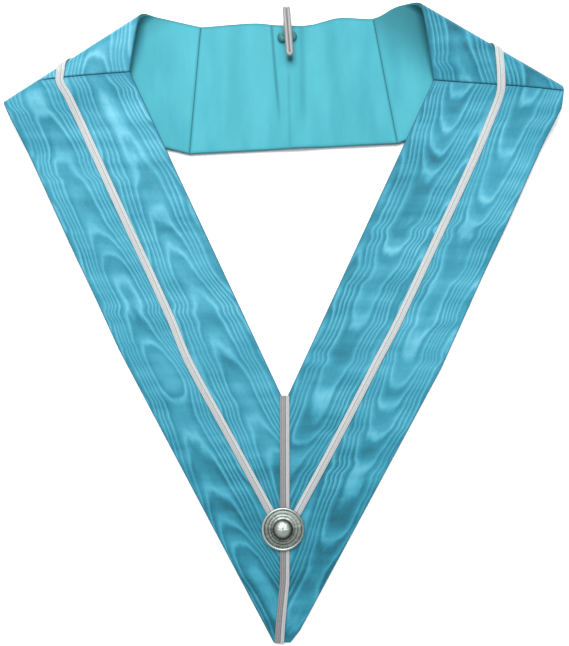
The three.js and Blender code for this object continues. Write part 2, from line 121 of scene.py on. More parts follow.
BUTTON_DROP = 98.6
BUTTON_ASIDE = -1.3
BUTTON_RADIUS = 16.7
BUTTON_HEIGHT = 6.4
DOME_RADIUS = 7.6

HOOK_WIRE = 2.4
HOOK_LIMB_GAP = 0.5
HOOK_MOUTH = 5.2
HOOK_FRONT_LENGTH = 40.2
HOOK_REACH = 12.5
HOOK_EYE_DEPTH = 10.0
HOOK_EYE_RADIUS = 2.1
HOOK_LEAN = 4.4
HOOK_ASIDE = 0.15
HOOK_FRONT_ASIDE = 0.8
HOOK_REAR_ASIDE = 1.3

BRAID_OFFSET = CLOTH_THICKNESS + CLEARANCE
BACK_TOP = BRAID_THICKNESS + CLEARANCE + CLOTH_THICKNESS
REST_HEIGHT = BACK_TOP + CLEARANCE
POINT_Y = CROTCH_Y - POINT_DROP
CUT_Y = POINT_Y + POINT_TRIM
HALF_GAP = CLEARANCE / 2
OUTWARD = np.array([1.0, 0.0])
BUTTON_Y = CROTCH_Y - BUTTON_DROP

# Fineness and small forms of the dressed meshes, in millimetres
CLOTH_STEP = 1.7
BACK_STEP = 0.8
EDGE_STEPS = (0.0, 0.15, 0.4, 0.8, 1.3)
EDGE_ROLL = 0.8
LEAST_GAP = 0.3
BACK_LINING_INSET = -0.2
# Layers of cloth: offset of the lower and the upper skin, and how deep each is rolled down at its edges
STRAP_LAYER = (0.0, CLOTH_THICKNESS, 0.3, 0.9)
FACE_LAYER = (FACE_OFFSET, CLOTH_THICKNESS, 0.1, 0.7)
LINING_LAYER = (0.0, LINING_THICKNESS, 0.6, 0.2)
# Painted shade along the cloth's edges and seams: how far in it reaches, how strong it stays near the edge,
# and its share at the seams
EDGE_SHADE_REACH = 1.8
EDGE_SHADE_PLATEAU = 1.25
SEAM_SHADE = 0.55

# The part's shift from the layout: the button stands on a known place of it
button_low, button_high = (np.array(corner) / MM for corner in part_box("button"))
SHIFT = (button_low + button_high)[:2] / 2 - np.array([BUTTON_ASIDE, BUTTON_Y])


def heading(degrees):
    angle = math.radians(degrees)
    return np.array([math.cos(angle), math.sin(angle)])


def beside(way):
    """The direction a quarter turn to the right of a way."""
    return np.array([way[1], -way[0]])


def cross(a, b):
    return a[0] * b[1] - a[1] * b[0]


def crossing(a, u, b, w):
    """Where the line through a along u crosses the line through b along w."""
    return a + u * (cross(b - a, w) / cross(u, w))


def ease(t):
    t = np.clip(t, 0.0, 1.0)
    return t * t * (3 - 2 * t)


def bump(t, row):
    away = np.minimum(np.abs(t - row["centre"]) / row["half_width"], 1.0)
    return 0.5 + 0.5 * np.cos(np.pi * away)


def lay_out(side):
    """The flat layout of one side, with its named points, x running outward from the centre seam."""
    plan = SimpleNamespace(**side)
    plan.crotch = np.array([0.0, CROTCH_Y])
    plan.point = np.array([plan.mirror * POINT_SWAY, POINT_Y])
    plan.strap_way = heading(plan.strap_angle)
    plan.neck = plan.crotch + plan.strap_length * plan.strap_way
    taper_base = plan.crotch + plan.taper_start * plan.strap_way
    plan.taper = taper_base + RIBBON_WIDTH * heading(plan.strap_angle - 90)
    lower = plan.taper - plan.point
    plan.lower_way = lower / norm(lower)
    plan.seam_way = heading((plan.strap_angle + plan.panel_angle) / 2 - 90)
    plan.seam_end = crossing(plan.neck, plan.seam_way, plan.taper, plan.strap_way)
    plan.panel_way = heading(plan.panel_angle)
    plan.panel_out = heading(plan.panel_angle - 90)
    plan.back_top = plan.neck + plan.panel_length * plan.panel_way
    plan.back_seam_way = heading(plan.panel_angle - 90 + BACK_MITRE / 2)
    plan.back_seam_length = BACK_WIDTH / math.cos(math.radians(BACK_MITRE / 2))
    plan.back_bottom = plan.back_top + plan.back_seam_length * plan.back_seam_way
    plan.fold_point = plan.neck + plan.fold_start * plan.panel_way
    plan.fold_normal = heading(plan.fold_angle - 90)
    plan.fold_way = heading(plan.fold_angle - 180)
    plan.fold_span = (plan.seam_end - plan.fold_point) @ plan.fold_way
    plan.inner_radius = plan.bend_radius - CLOTH_THICKNESS / 2
    plan.bend_length = math.pi * plan.bend_radius
    hem_past = (plan.back_bottom - plan.fold_point) @ plan.fold_normal
    plan.underlap = hem_past - plan.bend_length + UNDERLAP_MARGIN
    plan.fold_top = BACK_TOP + 2 * plan.inner_radius
    return plan


left, right = lay_out(LEFT), lay_out(RIGHT)


def on_cloth(plan, flat, offset):
    """Points of the flat layout on the folded cloth, at an offset from the lining's skin to the face."""
    flat = np.asarray(flat, float)
    offset = np.broadcast_to(np.asarray(offset, float), flat.shape[:-1])
    past = (flat - plan.fold_point) @ plan.fold_normal
    before = -past
    settled = REST_HEIGHT + (plan.fold_top - REST_HEIGHT) * (1 - ease(before / SETTLE_LENGTH))
    upper = settled - REST_HEIGHT * ease((before - plan.underlap) / DESCENT_LENGTH) + offset
    turn = np.clip(past / plan.bend_radius, 0, math.pi)
    radius = plan.inner_radius + offset
    away = (flat - plan.fold_point) @ plan.fold_way / plan.fold_span
    bulge = plan.neck_bulge + (plan.corner_bulge - plan.neck_bulge) * away
    under = past > plan.bend_length
    bent = (past > 0) & ~under
    out = np.where(under, plan.bend_length - past, np.where(bent, bulge * radius * np.sin(turn), past))
    bend_height = BACK_TOP + plan.inner_radius + radius * np.cos(turn)
    height = np.where(under, BACK_TOP - offset, np.where(bent, bend_height, upper))
    spot = flat + (out - past)[..., None] * plan.fold_normal
    lift = plan.neck_lift * bump(past, NECK_LIFT) * (1 - (flat - plan.neck) @ plan.panel_out / RIBBON_WIDTH)
    return np.stack([plan.mirror * spot[..., 0], spot[..., 1] + lift, height], axis=-1)


def on_back(across, down, offset):
    """Points of the back section: across from the left to the right seam, down from neck to hem."""
    def seam(plan):
        flat = plan.back_top + (down * plan.back_seam_length)[..., None] * plan.back_seam_way
        return on_cloth(plan, flat, offset)

    spot = seam(left) * (1 - across)[..., None] + seam(right) * across[..., None]
    for row in WAVES:
        spot[..., 2] += WAVE_HEIGHT * row["height"] * bump(across - 0.5, row)
    for row in DIPS:
        drop = row["top"] + (row["bottom"] - row["top"]) * down
        spot[..., 1] -= EDGE_DIP * drop * bump(across - 0.5, row)
    return spot


NOISE_CELLS = 67


def smooth_noise(u, v, seed):
    """Smooth noise from -1 to 1 on a lattice of unit cells, the same on each run."""
    cells = np.random.default_rng(seed).uniform(-1, 1, (NOISE_CELLS, NOISE_CELLS))
    iu, iv = np.floor(u).astype(int), np.floor(v).astype(int)
    fu, fv = u - iu, v - iv
    fu, fv = fu**3 * (fu * (6 * fu - 15) + 10), fv**3 * (fv * (6 * fv - 15) + 10)
    at = lambda du, dv: cells[(iu + du) % NOISE_CELLS, (iv + dv) % NOISE_CELLS]
    low = at(0, 0) * (1 - fu) + at(1, 0) * fu
    high = at(0, 1) * (1 - fu) + at(1, 1) * fu
    return low * (1 - fv) + high * fv


# Meshes
def make_object(name, points, faces, materials, face_materials=None, smooth=True):
    mesh = bpy.data.meshes.new(name)
    mesh.from_pydata([tuple(p) for p in points], [], [tuple(int(i) for i in f) for f in faces])
    for material in materials:
        mesh.materials.append(material)
    if face_materials is not None:
        mesh.polygons.foreach_set("material_index", np.asarray(face_materials, np.int32))
    mesh.polygons.foreach_set("use_smooth", [smooth] * len(mesh.polygons))
    mesh.update()
    piece = bpy.data.objects.new(name, mesh)
    scene.collection.objects.link(piece)
    return piece


def to_frame(points):
    """Layout millimetres to the part's metres."""
    return (np.asarray(points) + [SHIFT[0], SHIFT[1], 0.0]) * MM


def paint(piece, name, values):
    """A value for each point of a mesh, for its material."""
    layer = piece.data.attributes.new(name, "FLOAT", "POINT")
    layer.data.foreach_set("value", np.asarray(values, np.float32))


def lay_uv(piece, name, coords):
    layer = piece.data.uv_layers.new(name=name)
    loops = np.empty(len(piece.data.loops), np.int32)
    piece.data.loops.foreach_get("vertex_index", loops)
    layer.data.foreach_set("uv", np.asarray(coords, np.float32)[loops].ravel())


def edge_spaced(length, step, inset=0.0):
    """Distances from 0 to length, close together at both ends, less the inset there."""
    near = [inset + d for d in EDGE_STEPS]
    middle = np.linspace(near[-1], length - near[-1], max(2, round(length / step)))
    return np.concatenate([near[:-1], middle, [length - d for d in near[-2::-1]]])


def polyline(corners, count_per_leg):
    """Points along a line of corners, with each leg's count of steps."""
    legs = []
    for i, count in enumerate(count_per_leg):
        share = np.arange(count)[:, None] / count
        legs.append(corners[i] * (1 - share) + corners[i + 1] * share)
    return np.vstack(legs + [corners[-1][None]])


def roll(distance, depth):
    """How far a skin drops at a distance from its edge, as a quarter round."""
    t = np.clip(1 - distance / EDGE_ROLL, 0, 1)
    return depth * (1 - np.sqrt(np.clip(1 - t * t, 0, 1)))


def stand_in(piece, node):
    """The piece stands for a node of the part, whose own mesh is hidden."""
    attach(piece, "root")
    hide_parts(node)


def grid_faces(rows, columns, start=0, flip=False):
    i, j = np.meshgrid(np.arange(rows - 1), np.arange(columns - 1), indexing="ij")
    a = start + i * columns + j
    quads = np.stack([a, a + 1, a + columns + 1, a + columns], axis=-1).reshape(-1, 4)
    return quads[:, ::-1] if flip else quads


def ring_faces(rings, sides):
    """Faces between rings of points that follow each other."""
    i, j = np.meshgrid(np.arange(rings - 1), np.arange(sides), indexing="ij")
    a, b = i * sides + j, i * sides + (j + 1) % sides
    return np.stack([a, b, b + sides, a + sides], axis=-1).reshape(-1, 4)


def border_indices(rows, columns):
    top = np.arange(columns)
    side = np.arange(1, rows) * columns + columns - 1
    bottom = (rows - 1) * columns + np.arange(columns - 2, -1, -1)
    back = np.arange(rows - 2, 0, -1) * columns
    return np.concatenate([top, side, bottom, back])


def cloth_mesh(node, grid, place, layer, flip, materials, low_material=0):
    """A closed sheet over a flat grid: a skin at each offset, rolled down at its edges, and walls.

    Its colour is darkened by painted shade along the edges, and by the share SEAM_SHADE of it at the ends
    sewn to a neighbour.
    """
    rows, columns = grid.shape[:2]
    low, high, low_roll, high_roll = layer
    apart = lambda line: norm(grid - line, axis=-1)
    to_row_ends = np.minimum(apart(grid[:, :1]), apart(grid[:, -1:]))
    to_column_ends = np.minimum(apart(grid[:1]), apart(grid[-1:]))
    edge = np.minimum(to_row_ends, to_column_ends)
    top = place(grid, high - roll(edge, high_roll)).reshape(-1, 3)
    under = place(grid, low + roll(edge, low_roll)).reshape(-1, 3)
    count = rows * columns
    faces = [grid_faces(rows, columns, 0, flip), grid_faces(rows, columns, count, not flip)]
    ring = border_indices(rows, columns)
    after = np.roll(ring, -1)
    wall = np.stack([ring, ring + count, after + count, after], axis=-1)
    faces.append(wall[:, ::-1] if flip else wall)
    slots = np.repeat([0, low_material, 0], [len(group) for group in faces])
    points = to_frame(np.vstack([top, under]))
    piece = make_object(f"{node}_cloth", points, np.vstack(faces), materials, slots)
    near = lambda distance: np.clip(EDGE_SHADE_PLATEAU * (1 - distance / EDGE_SHADE_REACH), 0, 1)
    edge_shade = np.maximum(near(to_row_ends), SEAM_SHADE * near(to_column_ends))
    paint(piece, "edge_shade", np.tile(edge_shade.ravel(), 2))
    return piece


# Materials
def colour(hex_code):
    """A screen colour as linear light."""
    parts = [int(hex_code[i:i + 2], 16) / 255 for i in (1, 3, 5)]
    return tuple(p / 12.92 if p <= 0.04045 else ((p + 0.055) / 1.055) ** 2.4 for p in parts) + (1.0,)


class Nodes:
    """A small helper that adds shader nodes and links them in one line."""

    def __init__(self, name):
        self.material = bpy.data.materials.new(name)
        self.material.use_nodes = True
        self.tree = self.material.node_tree
        self.shader = self.tree.nodes["Principled BSDF"]

    def add(self, kind, settings=None, **inputs):
        node = self.tree.nodes.new(kind)
        for key, value in (settings or {}).items():
            setattr(node, key, value)
        for key, value in inputs.items():
            slot = node.inputs[int(key[1:])] if key[0] == "i" and key[1:].isdigit() else node.inputs[key]
            self.put(slot, value)
        return node

    def put(self, slot, value):
        if isinstance(value, bpy.types.NodeSocket):
            self.tree.links.new(value, slot)
        else:
            slot.default_value = value

    def attribute(self, name):
        return self.add("ShaderNodeAttribute", {"attribute_name": name}).outputs["Fac"]

    def uv(self, name):
        return self.add("ShaderNodeUVMap", {"uv_map": name}).outputs[0]

    def place(self):
        return self.add("ShaderNodeTexCoord").outputs["Object"]

    def stripes(self, direction, vector, scale, distortion=0.0):
        inputs = dict(Vector=vector, Scale=scale, Distortion=distortion)
        return self.add("ShaderNodeTexWave", {"bands_direction": direction}, **inputs).outputs["Fac"]

    def surface(self, name, value):
        """A value or a link on the shader's own socket."""
        self.put(self.shader.inputs[name], value)

    def math(self, operation, a, b=0.0, c=None):
        node = self.add("ShaderNodeMath", {"operation": operation}, i0=a, i1=b)
        if c is not None:
            self.put(node.inputs[2], c)
        return node.outputs[0]

    def mix(self, share, a, b):
        return self.add("ShaderNodeMix", {"data_type": "RGBA"}, i0=share, i6=a, i7=b).outputs[2]

    def ramp(self, value, stops):
        node = self.add("ShaderNodeValToRGB", i0=value)
        elements = node.color_ramp.elements
        while len(elements) < len(stops):
            elements.new(0.5)
        for element, (position, shade) in zip(elements, stops):
            element.position = position
            element.color = shade
        return node.outputs[0]

    def noise(self, vector, scale, detail=2.0, roughness=0.5):
        node = self.add("ShaderNodeTexNoise", Vector=vector, Scale=scale, Detail=detail, Roughness=roughness)
        return node.outputs["Fac"]

    def scaled(self, vector, x, y, z=1.0):
        node = self.add("ShaderNodeVectorMath", {"operation": "MULTIPLY"}, i0=vector, i1=(x, y, z))
        return node.outputs[0]

    def edge_shaded(self, base, dark):
        """The base colour, darkened by painted shade along the cloth's turned edge and seams."""
        return self.mix(self.attribute("edge_shade"), base, colour(dark))

    def bump(self, height, strength, distance):
        return self.add("ShaderNodeBump", Height=height, Strength=strength, Distance=distance).outputs[0]


def moire_material():
    """Watered silk: light and dark contour lines of the figure, over fine ribs across the ribbon."""
    n = Nodes("moire_ribbon")
    uv = n.uv("ribbon")
    figure = n.attribute("figure")
    place = n.place()
    tangle = n.noise(n.scaled(uv, 0.25, 0.08), 1.0, 3.0)
    phase = n.math("ADD", figure, n.math("MULTIPLY", tangle, 0.3))
    wave = n.math("SINE", n.math("MULTIPLY", phase, 2 * math.pi))
    second_wave = n.math("SINE", n.math("MULTIPLY", phase, 4 * math.pi))
    saw = n.math("MULTIPLY_ADD", second_wave, -0.33, wave)
    crest = n.math("POWER", n.math("MULTIPLY_ADD", saw, 0.42, 0.5), 1.7)
    patches = n.noise(n.scaled(uv, 0.05, 0.02), 1.0, 2.0)
    flank = n.attribute("flank")
    depth = n.math("MULTIPLY", n.math("MULTIPLY_ADD", flank, -0.15, 1.0), patches)
    line = n.math("MULTIPLY", n.math("SUBTRACT", crest, 0.38), depth)
    grain = n.noise(n.scaled(uv, 0.35, 1.2), 1.0, 3.0, 0.6)
    bands = n.noise(n.scaled(place, 14.0, 60.0), 1.0, 2.0)
    tone = n.math("ADD", n.math("ADD", line, 0.5), n.math("MULTIPLY_ADD", grain, 0.3, -0.15))
    # Painted light and shade of each piece, added to the figure's tone
    painted_light = n.attribute("painted_light")
    tone = n.math("ADD", n.math("ADD", tone, painted_light), n.math("MULTIPLY_ADD", bands, 0.8, -0.4))
    base = n.ramp(tone, [
        (0.0, colour("#0e5163")), (0.2, colour("#1a6c82")), (0.4, colour("#2b7e94")),
        (0.6, colour("#3b8da4")), (0.8, colour("#4e9bb1")), (1.0, colour("#64a9bd")),
    ])
    n.surface("Base Color", n.edge_shaded(base, "#1d6076"))
    n.surface("Roughness", n.math("MULTIPLY_ADD", tone, -0.16, 0.56))
    ribs = n.stripes("Y", uv, 0.62, 0.4)
    height = n.math("ADD", n.math("MULTIPLY", tone, 0.7), n.math("MULTIPLY", ribs, 0.3))
    n.surface("Normal", n.bump(height, 0.25, 0.0004))
    n.surface("Specular IOR Level", 0.4)
    n.surface("Specular Tint", (0.55, 0.92, 1.0, 1.0))
    n.surface("Sheen Weight", 0.1)
    n.surface("Sheen Roughness", 0.4)
    return n.material


def lining_material():
    """Plain satin lining with a fine weave and slight puckers."""
    n = Nodes("plain_lining")
    place = n.place()
    weave, cross_weave = n.stripes("X", place, 500.0), n.stripes("Y", place, 500.0)
    soft = n.noise(n.scaled(place, 60.0, 16.0, 60.0), 1.0, 4.0)
    base = n.ramp(soft, [(0.25, colour("#2f8a99")), (0.5, colour("#3994a2")), (0.75, colour("#419caa"))])
    # Painted shade in the lining's colour: up into the folds, along the creases and under the hook's tip
    base = n.mix(n.attribute("shade"), base, colour("#13606b"))
    n.surface("Base Color", n.edge_shaded(base, "#1f6b75"))
    puckers = n.noise(n.scaled(place, 60.0, 14.0, 60.0), 1.0, 2.0)
    height = n.math("ADD", n.math("MULTIPLY", n.math("ADD", weave, cross_weave), 0.04), puckers)
    n.surface("Normal", n.bump(height, 0.35, 0.0005))
    n.surface("Roughness", 0.55)
    n.surface("Specular IOR Level", 0.3)
    n.surface("Specular Tint", (0.6, 0.95, 1.0, 1.0))
    n.surface("Sheen Weight", 0.15)
    return n.material


def braid_material():
    """Silver thread wound slantwise over cords, darkened by painted shade in the hollows, on the shaded side
    and lower down, and by tarnish.
    """
    n = Nodes("silver_braid")
    uv = n.uv("braid")
    threads = n.stripes("DIAGONAL", uv, 0.75, 0.6)
    wear = n.noise(n.scaled(uv, 1.0, 0.35), 0.6, 3.0)
    tone = n.math("ADD", n.math("MULTIPLY", threads, 0.35), n.math("MULTIPLY", wear, 0.6))
    silver_thread = n.mix(tone, colour("#b0b6b6"), colour("#d6dbdb"))
    n.surface("Base Color", n.mix(n.attribute("dull_and_shade"), silver_thread, colour("#656063")))
    n.surface("Normal", n.bump(threads, 0.5, 0.0003))
    n.surface("Roughness", n.math("MULTIPLY_ADD", wear, 0.25, 0.33))
    n.surface("Metallic", 0.12)
    return n.material


def silver_material():
    """Stamped silver, polished where it stands proud, dark with tarnish in its ground, and darker on one side
    with painted shade and reflection.
    """
    n = Nodes("silver_button")
    button_tarnish_and_shade = n.attribute("button_tarnish_and_shade")
    spots = n.noise(n.place(), 620.0, 3.0)
    bright = n.mix(spots, colour("#8f9b96"), colour("#cdd3cf"))
    n.surface("Base Color", n.mix(button_tarnish_and_shade, bright, colour("#3a453f")))
    n.surface("Roughness", n.math("MULTIPLY_ADD", button_tarnish_and_shade, 0.15, 0.34))
    n.surface("Normal", n.bump(spots, 0.15, 0.0002))
    n.surface("Metallic", 0.85)
    return n.material


def wire_material():
    """Plated wire with marks drawn out along it."""
    n = Nodes("hook_wire")
    marks = n.noise(n.scaled(n.place(), 900.0, 160.0, 900.0), 1.0, 2.0)
    n.surface("Base Color", n.mix(marks, colour("#757676"), colour("#9d9d9a")))
    n.surface("Roughness", n.math("MULTIPLY_ADD", marks, 0.2, 0.45))
    n.surface("Normal", n.bump(marks, 0.1, 0.0001))
    n.surface("Metallic", 0.3)
    return n.material


def thread_material():
    """Teal sewing thread, twisted, darkened with painted shade."""
    n = Nodes("sewing_thread")
    twist = n.noise(n.place(), 900.0, 2.0)
    n.surface("Base Color", n.mix(twist, colour("#0f474c"), colour("#55abb0")))
    n.surface("Normal", n.bump(twist, 0.3, 0.0001))
    n.surface("Roughness", 0.7)
    return n.material


def floor_material():
    n = Nodes("pale_floor")
    n.surface("Base Color", (0.98, 0.98, 0.98, 1.0))
    n.surface("Roughness", 0.9)
    n.surface("Specular IOR Level", 0.1)
    return n.material


moire, lining = moire_material(), lining_material()
silver_braid, silver, wire, thread = braid_material(), silver_material(), wire_material(), thread_material()


# The cloth pieces
def ruled_grid(inner, outer, step):
    """A flat grid between two lines of matching corners: rows along the ribbon, columns across it."""
    lengths = [max(norm(b - a), norm(d - c))
               for a, b, c, d in zip(inner, inner[1:], outer, outer[1:])]
    counts = [max(1, round(length / step)) for length in lengths]
    inner_line, outer_line = polyline(inner, counts), polyline(outer, counts)
    share = edge_spaced(RIBBON_WIDTH, step) / RIBBON_WIDTH
    rows = refine_ends(len(inner_line), lengths[0] / counts[0], lengths[-1] / counts[-1])
    pick = lambda line: np.stack([np.interp(rows, np.arange(len(line)), line[:, k]) for k in (0, 1)], axis=-1)
    a, b = pick(inner_line), pick(outer_line)
    return a[:, None] * (1 - share)[None, :, None] + b[:, None] * share[None, :, None]


def refine_ends(count, first_step, last_step):
    """Row places from 0 to count - 1, with close rows at both ends."""
    start, end = np.array(EDGE_STEPS) / first_step, np.array(EDGE_STEPS) / last_step
    first, last = start[-1] + LEAST_GAP, count - 1 - end[-1] - LEAST_GAP
    middle = np.arange(math.ceil(first), math.floor(last) + 1)
    return np.concatenate([start, middle, (count - 1 - end)[::-1]])


def ribbon_coordinates(plan, grid, way):
    """Distances across the ribbon from its inner edge, and along it, in millimetres."""
    offset = grid - plan.neck
    return offset @ beside(way), offset @ way


# The watered figure: two columns of arches down the ribbon, with close lines along their flanks
ARCH_SPACING = 47.0
FLANK_LINES = 5.0
ARCH_BLUNTNESS = 1.7
SWAY = dict(size=1.4, length=21)
KINKS = dict(size=2.0, length=7.5)
DRIFT = 3.5


def figures(across, drop, way, seed):
    """How close the figure's lines lie, and its phase in cycles. Arches point up if way is 1, else down."""
    noise = lambda wide, long, k: smooth_noise(across / wide + 9 * k, drop / long + 7 * k + 40, seed + k)
    still = np.zeros_like(across)
    sway = SWAY["size"] * smooth_noise(still, drop / SWAY["length"] + 30, seed + 7)
    kinked = np.clip(noise(60, 40, 9), 0, 1)
    sway = sway + KINKS["size"] * kinked * smooth_noise(still, drop / KINKS["length"] + 30, seed + 8)
    share = (across + sway + DRIFT * noise(70, 60, 1)) / RIBBON_WIDTH
    column = 0.5 - 0.5 * np.cos(4 * np.pi * share)
    crown = 1 - (1 - column) ** ARCH_BLUNTNESS
    lines = FLANK_LINES * (1 + 0.22 * noise(90, 110, 2))
    flank = np.sin(4 * np.pi * share) ** 2
    phase = way * lines * crown + drop / ARCH_SPACING + 0.75 * noise(34, 38, 3) + 0.12 * noise(11, 13, 4)
    return flank, phase


# Painted light and shade in the silk's colour, as each piece lies to the light: lighter at the shoulder,
# darker down to the point
PAINTED_LIGHT = dict(
    strap_left=dict(all=0.03, outer=-0.02, point=-0.33), strap_right=dict(all=-0.08, outer=0.16, point=-0.18),
    shoulder_left=dict(all=0.16), shoulder_right=dict(all=-0.16), back_panel=dict(all=0.0),
)
POINT_SHADE = dict(start=10.0, length=210.0)


def painted_light(node, across, drop):
    row = dict(outer=0.0, point=0.0) | PAINTED_LIGHT[node]
    lower = ease((drop - POINT_SHADE["start"]) / POINT_SHADE["length"])
    return row["all"] + row["outer"] * (across / RIBBON_WIDTH) * (1 - lower) + row["point"] * lower


def dress_ribbon(piece, node, across, along, drop, way, seed):
    across, along, drop = (np.tile(values.ravel(), 2) for values in (across, along, drop))
    lay_uv(piece, "ribbon", np.stack([across, along], axis=-1))
    paint(piece, "painted_light", painted_light(node, across, drop))
    flank, phase = figures(across, drop, way, seed)
    paint(piece, "flank", flank)
    paint(piece, "figure", phase)


def strap_corners(plan):
    """Matching corners down the inner and the outer edge of a front strap, from point to shoulder."""
    cut_seam = np.array([plan.point[0] + HALF_GAP, CUT_Y])
    cut_edge = crossing(plan.point, plan.lower_way, cut_seam, OUTWARD)
    crotch = plan.crotch + HALF_GAP * OUTWARD
    below_seam = HALF_GAP * beside(plan.seam_way)
    neck, seam_end = plan.neck + below_seam, plan.seam_end + below_seam
    lower_length = norm(plan.taper - cut_edge)
    inner, outer = [cut_seam], [cut_edge - plan.point_bevel * OUTWARD]
    if plan.point_bevel:
        share = POINT_BEVEL_RISE / lower_length
        inner.append(cut_seam * (1 - share) + crotch * share)
        outer.append(cut_edge + POINT_BEVEL_RISE * plan.lower_way)
    inner.append(crotch)
    outer.append(plan.taper)
    trim_back = plan.corner_trim / abs(plan.seam_way @ plan.strap_way)
    trim_share = trim_back / norm(seam_end - plan.taper)
    inner.append(neck * (1 - trim_share) + crotch * trim_share)
    outer.append(seam_end - trim_back * plan.strap_way)
    inner.append(neck)
    outer.append(seam_end - plan.corner_trim * plan.seam_way)
    return inner, outer


def shoulder_corners(plan):
    """Matching corners of a shoulder panel, from the shoulder seam to the back seam."""
    above_seam = -HALF_GAP * beside(plan.seam_way)
    short_of_back = HALF_GAP * beside(plan.back_seam_way)
    neck, seam_end = plan.neck + above_seam, plan.seam_end + above_seam
    back_top, back_bottom = plan.back_top + short_of_back, plan.back_bottom + short_of_back
    panel_edge = back_bottom - seam_end
    edge_way = panel_edge / norm(panel_edge)
    trim_along = plan.corner_trim / abs(plan.seam_way @ edge_way)
    trim_share = trim_along / norm(panel_edge)
    inner = [neck, neck * (1 - trim_share) + back_top * trim_share, back_top]
    outer = [seam_end - plan.corner_trim * plan.seam_way, seam_end + trim_along * edge_way, back_bottom]
    return inner, outer


def flat_area(inner, outer):
    ring = np.array(list(inner) + list(outer)[::-1])
    after = np.roll(ring, -1, axis=0)
    return abs(np.sum(ring[:, 0] * after[:, 1] - ring[:, 1] * after[:, 0])) / 2


def line_length(corners):
    return sum(norm(b - a) for a, b in zip(corners, corners[1:]))


def add_sheet(piece, node, slot, width, length, area, held, rests_on):
    """The piece stands for a node; the size it was cut to, in millimetres, is not used."""
    stand_in(piece, node)


def add_folded(piece, node, slot, inner, outer, rests_on):
    """A folded piece, cut between two lines of corners, stands for its node."""
    length, cut = max(line_length(inner), line_length(outer)), flat_area(inner, outer)
    width = max(cut / length, RIBBON_WIDTH)
    add_sheet(piece, node, slot, width, length, min(cut, width * length), "folded", rests_on)


FOLD_SHADE_START = 0.6
FOLD_SHADE_FALL = 0.9


def fold_shade(plan, grid):
    """How dark the lining is where it runs up into the fold."""
    past = (grid - plan.fold_point) @ plan.fold_normal
    away = (past - plan.bend_length * FOLD_SHADE_START) / plan.shade_reach
    return plan.shade_depth * ease(1 - away) ** FOLD_SHADE_FALL


for word, plan, seed in (("left", left, 3), ("right", right, 8)):
    place = lambda flat, offset, plan=plan: on_cloth(plan, flat, offset)
    flip = plan.mirror < 0
    strap_node, shoulder_node, lining_node = f"strap_{word}", f"shoulder_{word}", f"lining_{word}"
    inner, outer = strap_corners(plan)
    grid = ruled_grid(inner, outer, CLOTH_STEP)
    strap = cloth_mesh(strap_node, grid, place, STRAP_LAYER, flip, [moire, lining], 1)
    across, along = ribbon_coordinates(plan, grid, plan.strap_way)
    dress_ribbon(strap, strap_node, across, along, -grid[..., 1], -plan.mirror, seed)
    add_folded(strap, strap_node, "moire_ribbon", inner, outer, shoulder_node)

    inner, outer = shoulder_corners(plan)
    grid = ruled_grid(inner, outer, CLOTH_STEP)
    shoulder = cloth_mesh(shoulder_node, grid, place, FACE_LAYER, flip, [moire])
    across, along = ribbon_coordinates(plan, grid, plan.panel_way)
    dress_ribbon(shoulder, shoulder_node, across, along, -grid[..., 1], 1, seed + 20)
    add_folded(shoulder, shoulder_node, "moire_ribbon", inner, outer, strap_node)

    under = cloth_mesh(lining_node, grid, place, LINING_LAYER, flip, [lining])
    paint(under, "shade", np.tile(fold_shade(plan, grid).ravel(), 2))
    add_folded(under, lining_node, "plain_lining", inner, outer, shoulder_node)


# The back section, whose grid is shares across and down
def back_span():
    """The length of the back section's neck edge."""
    ends = [on_cloth(plan, plan.back_top, 0.0) for plan in (left, right)]
    return norm(ends[0] - ends[1])


# Creases of the back lining, by shares of its length and of its width from the neck edge down
# A crease's shade is painted shade in the lining's colour; below zero it takes shade away
CREASES = [
    dict(centre=-0.091, lean=0.037, half_width=0.014, depth=0.25, shade=0.75, since=-0.5, until=0.95),
    dict(centre=0.003, lean=-0.02, half_width=0.012, depth=0.3, shade=0.3, since=0.28, until=1.6),
    dict(centre=0.03, lean=-0.02, half_width=0.02, depth=-0.2, shade=-0.1, since=0.3, until=1.3),
    dict(centre=0.086, lean=-0.03, half_width=0.03, depth=0.4, shade=0.28, since=-0.5, until=1.0),
    dict(centre=-0.3, lean=0.0, half_width=0.06, depth=0.25, shade=0.08, since=-0.5, until=1.4),
    dict(centre=0.24, lean=0.02, half_width=0.06, depth=0.25, shade=0.1, since=-0.5, until=1.4),
]
# Shade under the hook's tip, across and down the lining, in millimetres
TIP_SHADE = dict(aside=0.9, down=28.6, wide=2.3, long=3.2)


def crease(row, share, fallen):
    """How deep a crease is at a place of the back section, from 0 to 1."""
    centred = np.abs(share - 0.5 - row["centre"] - row["lean"] * fallen) / row["half_width"]
    fade = ease((row["until"] - fallen) / 0.5) * ease((fallen - row["since"]) / 0.2)
    return (0.5 + 0.5 * np.cos(np.pi * np.minimum(centred, 1.0))) * fade


def tip_shade(across, down):
    row = TIP_SHADE
    away = np.hypot((across - row["aside"]) / row["wide"], (down - row["down"]) / row["long"])
    return ease(1.5 - away)


def back_piece(node, layer, material, inset, creases):
    span, fall = back_span(), left.back_seam_length
    across = edge_spaced(span, BACK_STEP, HALF_GAP + inset) / span
    down = edge_spaced(fall, CLOTH_STEP) / fall
    grid = np.stack(np.meshgrid(across * span, down * fall, indexing="ij"), axis=-1)

    def place(flat, offset):
        share, fallen = flat[..., 0] / span, flat[..., 1] / fall
        spot = on_back(share, fallen, offset)
        for row in creases:
            spot[..., 2] -= row["depth"] * crease(row, share, fallen)
        return spot

    return cloth_mesh(node, grid, place, layer, True, [material]), grid, span, fall


